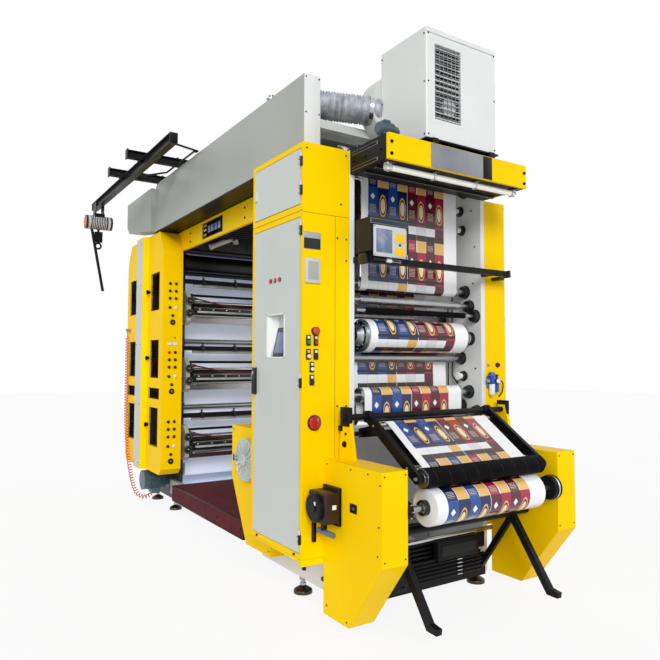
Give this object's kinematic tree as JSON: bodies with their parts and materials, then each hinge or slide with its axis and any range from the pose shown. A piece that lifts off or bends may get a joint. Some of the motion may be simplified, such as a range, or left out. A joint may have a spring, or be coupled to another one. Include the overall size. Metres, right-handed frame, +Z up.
{
  "type": "flexographic printing press",
  "caption": "Stack flexographic printing press with two towers, a dryer bridge, electrical cabinet, print decks, drum, rewinder with swinging arms, and a side hoist.",
  "frame": {"origin": "on the floor, under the middle of the bounding box", "axes": "+Z up, +Y from the rewinder at the front to the print tower at the back (the longest extent), +X from the operator side to the drive side"},
  "size_m": [2.246, 5.5794, 3.863],
  "materials": {
    "yellow_paint": "semi-gloss powder coat",
    "grey_paint": "fine satin powder coat",
    "dark_paint": "satin black paint",
    "red_paint": "worn anti-slip deck paint",
    "steel": "machined and ground",
    "chrome": "hard chrome plate",
    "zinc": "zinc plated",
    "rubber": "ground rubber cover",
    "plate": "photopolymer plates on steel sleeves",
    "film": "white printed film",
    "glass": "dark tinted pane",
    "lamp": "opal tube",
    "duct": "corrugated foil hose",
    "buttons": "moulded operators",
    "motor_blue": "dark blue motor paint",
    "air_hose": "glossy polyurethane",
    "ink_hose": "flexible tube",
    "cast": "grey painted castings"
  },
  "bodies": {
    "press_frame": {"air_hose": "air_hose", "anilox_rollers": "chrome", "base_rails": "dark_paint", "blower_housing": "grey_paint", "blower_scroll": "grey_paint", "cabinet_body": "yellow_paint", "cover_posts": "yellow_paint", "dark_panes": "glass", "deck_bars": "dark_paint", "deck_brackets": "cast", "dryer_chambers": "grey_paint", "dryer_rails": "dark_paint", "dryer_side_panels": "grey_paint", "flexible_duct": "duct", "fork_struts": "dark_paint", "frame_cross_members": "dark_paint", "guide_rollers": "steel", "hoist_frame": "dark_paint", "hood_frame": "dark_paint", "hood_front_panel": "yellow_paint", "hood_lamp": "lamp", "hood_motor": "motor_blue", "hose_fittings": "zinc", "impression_cylinders": "chrome", "ink_hose_lower": "ink_hose", "ink_hose_middle": "ink_hose", "ink_hose_upper": "ink_hose", "ink_trays": "steel", "inspection_rail": "dark_paint", "levelling_feet": "zinc", "link_beams": "yellow_paint", "main_motor": "motor_blue", "plate_cylinders": "plate", "post_panels": "grey_paint", "print_side_plates": "grey_paint", "print_tower_covers": "yellow_paint", "push_buttons": "buttons", "right_column_cover": "yellow_paint", "toe_board": "dark_paint", "tower_side_plates": "grey_paint", "unwind_brake": "steel", "unwind_roll": "film", "unwinder_boxes": "yellow_paint", "vent_grille": "grey_paint", "walkway": "red_paint", "web": "film", "web_table": "steel", "winder_boxes": "yellow_paint", "winder_drive": "dark_paint"},
    "upper_door": {"upper_cabinet_door": "grey_paint"},
    "lower_door": {"lower_cabinet_door": "grey_paint", "door_lamps": "buttons"},
    "press_arm": {"press_arms": "dark_paint"},
    "rubber_roller": {"lay_on_roller": "rubber"},
    "rewind_roll": {"winding_roll": "film"},
    "drum": {"chill_drum": "chrome"},
    "forks": {"load_arms": "dark_paint"},
    "viewing_unit": {"inspection_unit": "grey_paint"},
    "hoist": {"hoist_trolley": "dark_paint"}
  },
  "joints": [
    {"name": "upper_door_hinge", "type": "hinge", "parent": "press_frame", "child": "upper_door", "pos_m": [-0.756, -2.04626, 2.85], "axis": [0, 0, 1], "range_deg": [0, 105]},
    {"name": "lower_door_hinge", "type": "hinge", "parent": "press_frame", "child": "lower_door", "pos_m": [-0.756, -2.04626, 1.535], "axis": [0, 0, 1], "range_deg": [0, 105]},
    {"name": "press_arm_pivot", "type": "hinge", "parent": "press_frame", "child": "press_arm", "pos_m": [0.237, -2.15326, 1.315], "axis": [-1, 0, 0], "range_deg": [0, 40]},
    {"name": "rubber_roller_spin", "type": "hinge", "parent": "press_arm", "child": "rubber_roller", "pos_m": [0.237, -2.63926, 0.98994], "axis": [1, 0, 0], "continuous": true},
    {"name": "rewind_roll_spin", "type": "hinge", "parent": "press_frame", "child": "rewind_roll", "pos_m": [0.237, -2.61826, 0.815], "axis": [1, 0, 0], "continuous": true},
    {"name": "drum_spin", "type": "hinge", "parent": "press_frame", "child": "drum", "pos_m": [0.237, -1.94826, 1.85], "axis": [1, 0, 0], "continuous": true},
    {"name": "fork_pivot", "type": "hinge", "parent": "press_frame", "child": "forks", "pos_m": [0.237, -2.39326, 0.62], "axis": [-1, 0, 0], "range_deg": [0, 55]},
    {"name": "viewing_unit_slide", "type": "slide", "parent": "press_frame", "child": "viewing_unit", "axis": [1, 0, 0], "range_m": [0, 0.56]},
    {"name": "hoist_travel", "type": "slide", "parent": "press_frame", "child": "hoist", "axis": [0, 1, 0], "range_m": [-2.65, 0.12]}
  ]
}
